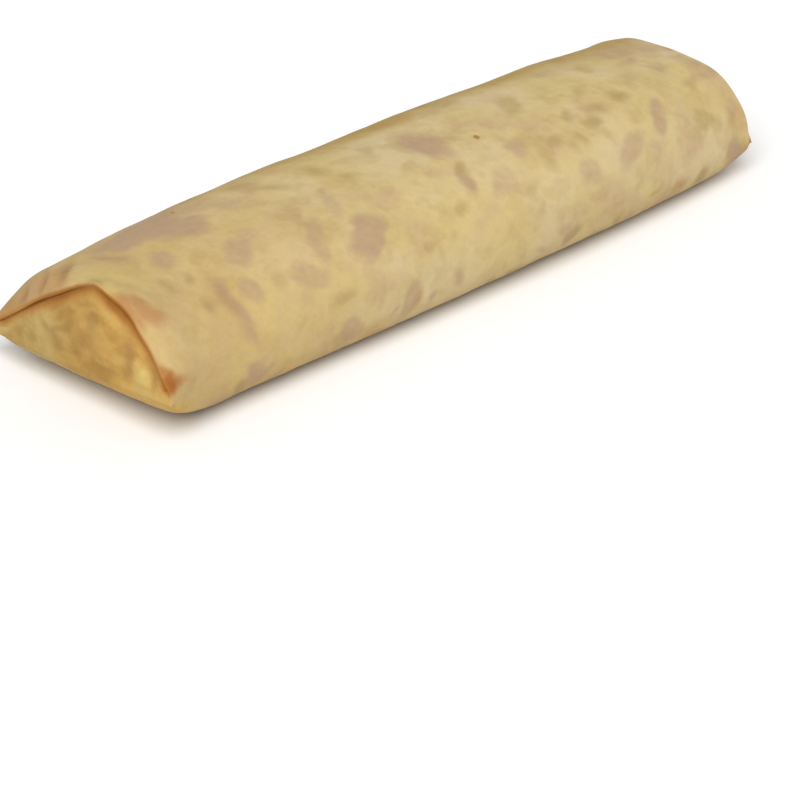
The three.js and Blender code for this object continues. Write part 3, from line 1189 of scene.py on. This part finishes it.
@dataclass(frozen=True)
class CrepeFinish:
    """Cooked crepe: pale batter, soft griddle patches, and browned edges, with painted shade under the
    lips, in the creases, along the top of the back and at the foot, and painted highlights on the near
    panel.
    """

    cream: Colour = seen(218, 197, 152)
    straw: Colour = seen(215, 193, 135)
    tan: Colour = seen(205, 177, 136)
    warm: Colour = seen(208, 174, 112)
    # Painted shade along the top of the back
    back_top_shade: Colour = seen(181, 149, 79)
    # Pale patches, which on the near panel also paint highlights
    pale: Colour = seen(222, 198, 124)
    olive: Colour = seen(182, 156, 104)
    mauve: Colour = seen(189, 160, 128)
    rust: Colour = seen(193, 146, 96)
    # Browned corners and patches, and painted shade along the foot at the near front corner
    brown_and_shade: Colour = seen(168, 100, 40)
    dull: Colour = seen(173, 135, 70)
    panel_back: Colour = seen(197, 172, 108)
    panel_middle: Colour = seen(201, 160, 88)
    panel_front: Colour = seen(212, 167, 88)
    # Painted shade at the foot, with some browning of the underside
    foot_shade_and_browning: Colour = seen(192, 160, 104)
    # Painted shade in the creases, with some browning
    crease_shade_and_browning: Colour = seen(166, 124, 76)
    # Browning with painted shadow and a painted warm glow under the lip
    under_lip_shadow_and_browning: Colour = seen(182, 124, 58)
    # The same browning and painted shadow, darker, for the groove under the lip
    groove: Colour = seen(162, 104, 44)
    speck: Colour = seen(120, 95, 58)
    clouds: Cloud = Cloud(0.012, 1.0, 0.36, 0.62)
    haze: Cloud = Cloud(0.008, 2.0, 0.48, 0.7, 0.75, 2.5)
    veil: Cloud = Cloud(0.0042, 3.0, 0.5, 0.72, 0.3)
    flecks: Cloud = Cloud(0.0034, 4.0, 0.5, 0.62, 0.15, 1.5)
    swirls: Cloud = Cloud(0.0034, 6.0, 0.47, 0.6, 0.42, 4.0, 0.62)
    veins: Cloud = Cloud(0.0016, 7.0, 0.5, 0.62, 0.22, 3.0, 0.6)

    # Where a shade begins and where it is full: along, up or across from the part's origin, in metres
    warm_end: tuple[float, float] = (-0.012, -0.05)
    # Painted shade at the foot, with some browning: where it begins and where it is full
    foot_shade_heights: tuple[float, float] = (0.0065, 0.0)
    # Painted shade in a band along the top of the back: where it rises and where it falls
    back_top_shade_rise: tuple[float, float] = (0.003, 0.013)
    back_top_shade_fall: tuple[float, float] = (0.011, 0.02)
    back_top_shade_slant: float = 0.05  # How far the band of painted shade runs across the roll for each step along it
    panel_turns: tuple[tuple[float, float], tuple[float, float]] = ((0.009, -0.002), (-0.003, -0.011))
    roughness: float = 0.62

    def make(self) -> bpy.types.Material:
        """Builds the finish.

        Returns:
            The material.
        """
        material = bpy.data.materials.new("crepe")
        material.use_nodes = True
        tree = material.node_tree
        tree.nodes.clear()
        graph = Graph(tree)
        place = graph.node("ShaderNodeTexCoord", output="Object")
        colour = self.batter(graph, place)
        colour = self.panels(graph, place, colour)
        colour = self.patches(graph, place, colour)
        # Painted shade in the creases, darker where they are deeper, with some browning
        colour = graph.mix(graph.attribute("crease") * 0.6, colour, self.crease_shade_and_browning)
        colour = self.edges(graph, place, colour)
        colour = self.grain(graph, place, colour)
        shader = tree.nodes.new("ShaderNodeBsdfPrincipled")
        graph.feed(shader.inputs["Base Color"], colour)
        fine = graph.noise(place, 0.0012, 21.0, 3.0, 0.6)
        broad = graph.noise(place, 0.006, 22.0)
        rough = self.roughness + (broad - 0.5) * 0.25 + (fine - 0.5) * 0.15
        graph.feed(shader.inputs["Roughness"], rough)
        shader.inputs["IOR"].default_value = 1.4
        shader.inputs["Specular IOR Level"].default_value = 0.12
        shader.inputs["Subsurface Weight"].default_value = 0.12
        shader.inputs["Subsurface Radius"].default_value = (1.0, 0.6, 0.25)
        shader.inputs["Subsurface Scale"].default_value = 0.0012
        graph.feed(shader.inputs["Normal"], self.bump(graph, place))
        target = tree.nodes.new("ShaderNodeOutputMaterial")
        tree.links.new(shader.outputs[0], target.inputs["Surface"])
        return material

    def batter(self, graph: Graph, place: Wire) -> Wire:
        """The pale batter with its soft clouds, warmer towards the near end, with painted shade along the
        top of the back and painted shade with some browning at the foot.

        Args:
            graph: The material's tree.
            place: Places on the skin.

        Returns:
            The colour.
        """
        colour, cloud = self.clouds.lay(graph, place, self.cream, self.straw)
        colour, haze = self.haze.lay(graph, place, colour, self.tan)
        colour = self.veil.lay(graph, place, colour, self.olive)[0]
        colour = self.flecks.lay(graph, place, colour, self.dull)[0]
        along, across, up = (graph.node("ShaderNodeSeparateXYZ", None, {0: place}, n) for n in range(3))
        near = graph.step(along + (haze - 0.5) * 0.03, *self.warm_end)
        colour = graph.mix(near * 0.5, colour, self.warm)
        # Painted shade at the foot, with some browning of the underside
        low = graph.step(up + (cloud - 0.5) * 0.004, *self.foot_shade_heights)
        colour = graph.mix(low * 0.45, colour, self.foot_shade_and_browning)
        # Painted shade in a band along the top of the back
        shifted = across + along * self.back_top_shade_slant + (cloud - 0.5) * 0.012
        band = graph.step(shifted, *self.back_top_shade_rise) * (0.85 - graph.step(shifted, *self.back_top_shade_fall) * 0.5)
        return graph.mix(band * (0.5 + haze), colour, self.back_top_shade)

    def panels(self, graph: Graph, place: Wire, colour: Wire) -> Wire:
        """The tucked panels: greenish behind, golden in front, with darker swirls.

        Args:
            graph: The material's tree.
            place: Places on the skin.
            colour: The batter's colour.

        Returns:
            The colour with the panels'.
        """
        across = graph.node("ShaderNodeSeparateXYZ", None, {0: place}, 1)
        shade = self.panel_back
        for turn, further in zip(self.panel_turns, (self.panel_middle, self.panel_front)):
            shade = graph.mix(graph.step(across, *turn), shade, further)
        for darker in (self.swirls, self.veins):
            shade = darker.lay(graph, place, shade, self.dull)[0]
        return graph.mix(graph.attribute("panel") * 0.92, colour, shade)

    def patches(self, graph: Graph, place: Wire, colour: Wire) -> Wire:
        """Lays the patches over the batter, with uneven soft edges: griddle patches, painted highlights on
        the near panel, and painted shade along the foot at the near front corner.

        Args:
            graph: The material's tree.
            place: Places on the skin.
            colour: The colour under them.

        Returns:
            The colour with the patches.
        """
        shades = (self.pale, self.olive, self.mauve, self.rust, self.brown_and_shade, self.dull)
        for order, (tint, shade) in enumerate(zip(Tint, shades)):
            ragged = graph.noise(place, 0.003, 30.0 + order, 2.0)
            cover = graph.attribute(tint.value) + (ragged - 0.5) * 0.2
            mask = graph.step(cover, 0.3, 0.7) * graph.attribute(tint.value + "_depth")
            inside = graph.noise(place, 0.0022, 40.0 + order)
            colour = graph.mix(mask * (0.75 + inside * 0.5), colour, shade)
        return colour

    def edges(self, graph: Graph, place: Wire, colour: Wire) -> Wire:
        """Browns the pinched corners, and browns the lip with a painted shadow and a painted warm glow
        under it, darkest in the groove.

        Args:
            graph: The material's tree.
            place: Places on the skin.
            colour: The colour before.

        Returns:
            The colour with the browned edges.
        """
        uneven = graph.noise(place, 0.003, 50.0)
        corner = graph.step(graph.attribute("corner") + (uneven - 0.5) * 0.3, 0.2, 0.9)
        colour = graph.mix(corner * 0.8, colour, self.brown_and_shade)
        # Browning with painted shadow and a painted warm glow: orange beside the lip, dark brown in the
        # groove
        rim = graph.attribute("rim") + (uneven - 0.5) * 0.25
        colour = graph.mix(graph.step(rim, 0.05, 0.65) * 0.85, colour, self.under_lip_shadow_and_browning)
        return graph.mix(graph.step(rim, 0.45, 0.95) * 0.9, colour, self.groove)

    def grain(self, graph: Graph, place: Wire, colour: Wire) -> Wire:
        """Adds fine mottling and a few dark specks.

        Args:
            graph: The material's tree.
            place: Places on the skin.
            colour: The colour before.

        Returns:
            The colour with both.
        """
        fine = graph.step(graph.noise(place, 0.0011, 60.0, 3.0, 0.65), 0.3, 0.7)
        mottle = graph.mix(fine, (0.25, 0.18, 0.08), (0.75, 0.66, 0.42))
        colour = graph.mix(0.08, colour, mottle, "OVERLAY")
        inputs = {"Vector": place, "Scale": 55.0}
        cell = graph.node("ShaderNodeTexVoronoi", {"feature": "F1"}, inputs, "Distance")
        rare = graph.step(graph.noise(place, 0.03, 61.0, 0.0), 0.52, 0.6)
        return graph.mix((1.0 - graph.step(cell, 0.02, 0.045)) * rare * 0.6, colour, self.speck)

    def bump(self, graph: Graph, place: Wire) -> Wire:
        """The fine pores and grain of cooked batter.

        Args:
            graph: The material's tree.
            place: Places on the skin.

        Returns:
            The direction that the light sees.
        """
        grain = graph.noise(place, 0.0007, 70.0, 3.0, 0.6)
        pores = graph.step(graph.noise(place, 0.0016, 71.0), 0.3, 0.45)
        inputs = {"Strength": 0.35, "Distance": 0.00012, "Height": grain * 0.35 + pores * 0.6}
        return graph.node("ShaderNodeBump", None, inputs)


@dataclass
class Blintz:
    """The whole parcel as one finished piece."""

    parcel: Parcel = Parcel()
    camera: PhotoCamera = PhotoCamera()
    relief: CrepeRelief = CrepeRelief()
    finish: CrepeFinish = CrepeFinish()
    corner_reach: float = 1.6  # How far a pinched corner's browning reaches, in millimetres
    deep_crease: float = 0.25  # The depth from which a crease has its full painted shade

    # The browned edge of the flap: its strength, its reach, where along it fades out, and how high up
    flap_browned: float = 0.35
    flap_reach: float = 0.8
    flap_end: float = 52.0
    flap_fade: float = 6.0
    flap_top: float = 1.5

    # Each pinched corner: its end, its angle, and how strongly it has browned
    corner_browning: tuple[tuple[int, float, float], ...] = (
        (-1, 0.0, 0.35),
        (-1, 2.94, 1.0),
        (1, 0.0, 0.75),
        (1, math.pi, 0.75),
    )

    def shift(self, box: tuple[Array, Array], points: Array) -> Array:
        """From the formula's own frame to the part's frame.

        Args:
            box: The part's lowest and highest corner, in millimetres.
            points: The skin's points.

        Returns:
            The shift in millimetres.
        """
        low, high = points.min(0), points.max(0)
        move = (box[0] + box[1]) / 2 - (low + high) / 2
        return np.array([move[0], move[1], box[0][2] - low[2]])

    def faces(self, rings: int) -> list[tuple[int, ...]]:
        """Faces that join the rings and close both ends, facing outwards.

        Args:
            rings: How many rings there are.

        Returns:
            The faces as point numbers.
        """
        columns = self.parcel.columns
        last = 1 + rings * columns
        made: list[tuple[int, ...]] = []
        for column in range(columns):
            beside = (column + 1) % columns
            made.append((0, 1 + beside, 1 + column))
            for low in range(1, last - columns, columns):
                high = low + columns
                made.append((low + column, low + beside, high + beside, high + column))
            made.append((last, last - columns + column, last - columns + beside))
        return made

    def corners(self, points: Array) -> Array:
        """How strongly each point is browned by the pinched corner next to it.

        Args:
            points: The skin's points.

        Returns:
            A share for each point.
        """
        browned = np.zeros(len(points))
        for side, angle, strength in self.corner_browning:
            tip = self.parcel.wrap(side * self.parcel.half_length, angle)
            away = np.linalg.norm(points - tip, axis=1)
            browned = np.maximum(browned, strength * bell(away / self.corner_reach))
        return browned

    def flap_browning(self, points: Array) -> Array:
        """How strongly the flap's edge on the underside has browned.

        Args:
            points: The skin's points.

        Returns:
            A share for each point.
        """
        off = (points[:, 1] - self.parcel.flap_line(points[:, 0])) / self.flap_reach
        inside = smooth((self.flap_end - np.abs(points[:, 0])) / self.flap_fade)
        return bell(off) * inside * (points[:, 2] < self.flap_top) * self.flap_browned

    def build(self, box: tuple[Array, Array]) -> tuple[bpy.types.Object, Array]:
        """Makes the piece.

        Args:
            box: The part's lowest and highest corner, in millimetres.

        Returns:
            The piece, and the shift from the formula's frame to the part's frame.
        """
        skin = self.parcel.skin()
        points, known = skin.points, skin.known
        mesh = bpy.data.meshes.new("crepe_skin")
        mesh.from_pydata(points.tolist(), [], self.faces(skin.rings))
        mesh.update()
        normals = np.zeros(points.shape)
        mesh.vertices.foreach_get("normal", normals.ravel())
        as_seen = (self.camera, points, normals, known["panel"])
        pressed = Creaser(*as_seen).heights(CREASES)
        lifted = points + normals * pressed[:, None]
        lifted[:, 2] = np.maximum(lifted[:, 2], 0)
        spots = GriddleSpots(*as_seen)
        spots.place_visible(WRAP_SPOTS, False)
        spots.place_visible(PANEL_SPOTS, True)
        spots.scatter_hidden()
        known["corner"] = self.corners(points)
        # How deep each crease is, which sets its painted shade
        known["crease"] = clamp01(-pressed / self.deep_crease)
        known["rim"] = np.maximum(known["rim"], self.flap_browning(points))
        known.update(spots.values())
        shift = self.shift(box, points)
        mesh.vertices.foreach_set("co", ((lifted + shift) * MM).ravel())
        for name, values in known.items():
            mesh.attributes.new(name, "FLOAT", "POINT").data.foreach_set("value", values)
        mesh.update()
        piece = bpy.data.objects.new("crepe_parcel", mesh)
        bpy.context.scene.collection.objects.link(piece)
        self.relief.apply(piece, self.finish.make())
        return piece, shift


@dataclass(frozen=True)
class Studio:
    """A plain pale floor under soft even light."""

    floor_size: float = 6.0
    floor_colour: Colour = (0.9, 0.9, 0.9)
    sky: float = 0.5
    sun: float = 0.85
    sun_azimuth: float = -50.0
    sun_elevation: float = 50.0
    softness: float = 50.0

    def make_floor(self) -> bpy.types.Object:
        """Adds the floor.

        Returns:
            The floor, as a thing of the stage.
        """
        half = self.floor_size / 2
        corners = [(-half, -half, 0), (half, -half, 0), (half, half, 0), (-half, half, 0)]
        mesh = bpy.data.meshes.new("floor")
        mesh.from_pydata(corners, [], [(0, 1, 2, 3)])
        material = bpy.data.materials.new("floor")
        material.use_nodes = True
        graph = Graph(material.node_tree)
        shader = material.node_tree.nodes["Principled BSDF"]
        cloud = graph.noise(graph.node("ShaderNodeTexCoord", output="Object"), 0.4, 80.0)
        lighter = tuple(part * 1.02 for part in self.floor_colour)
        graph.feed(shader.inputs["Base Color"], graph.mix(cloud, self.floor_colour, lighter))
        shader.inputs["Roughness"].default_value = 0.9
        shader.inputs["Specular IOR Level"].default_value = 0.1
        mesh.materials.append(material)
        floor = bpy.data.objects.new("floor", mesh)
        bpy.context.scene.collection.objects.link(floor)
        return floor

    def make_lights(self) -> None:
        """Adds the sky and one broad soft light from the front."""
        world = bpy.data.worlds.new("studio")
        bpy.context.scene.world = world
        world.use_nodes = True
        background = world.node_tree.nodes["Background"]
        background.inputs["Color"].default_value = (1.0, 1.0, 1.0, 1.0)
        background.inputs["Strength"].default_value = self.sky
        light = bpy.data.lights.new("window", "SUN")
        light.energy = self.sun * math.pi
        light.angle = math.radians(self.softness)
        lamp = bpy.data.objects.new("window", light)
        turn, rise = math.radians(self.sun_azimuth), math.radians(self.sun_elevation)
        lamp.rotation_euler = (math.pi / 2 - rise, 0.0, turn)
        bpy.context.scene.collection.objects.link(lamp)


def set_colours() -> None:
    """Shows colours as they are, with no film curve."""
    view = bpy.context.scene.view_settings
    view.view_transform = "Standard"
    view.look = "None"
    view.exposure = 0.0
    view.gamma = 1.0


def in_mm(corners: tuple[Sequence[float], Sequence[float]]) -> tuple[Array, Array]:
    """Two corners in millimetres."""
    return np.array(corners[0]) / MM, np.array(corners[1]) / MM


def main() -> None:
    """Builds the blintz in the part's frame, then the studio round it."""
    logging.basicConfig(level=logging.INFO, format="%(message)s")
    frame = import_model()
    LOG.info("frame: %s", ", ".join(sorted(frame["nodes"])))
    set_colours()
    blintz = Blintz()
    piece, shift = blintz.build(in_mm(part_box(NODE)))
    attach(piece, BODY)
    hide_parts(NODE)
    LOG.info("%s: %d faces, moved by %s mm", piece.name, len(piece.data.polygons), np.round(shift, 3))
    blintz.camera.make(shift)
    studio = Studio()
    studio.make_floor()
    studio.make_lights()
    LOG.info("studio: floor, sky and window light")


if __name__ == "__main__":
    main()
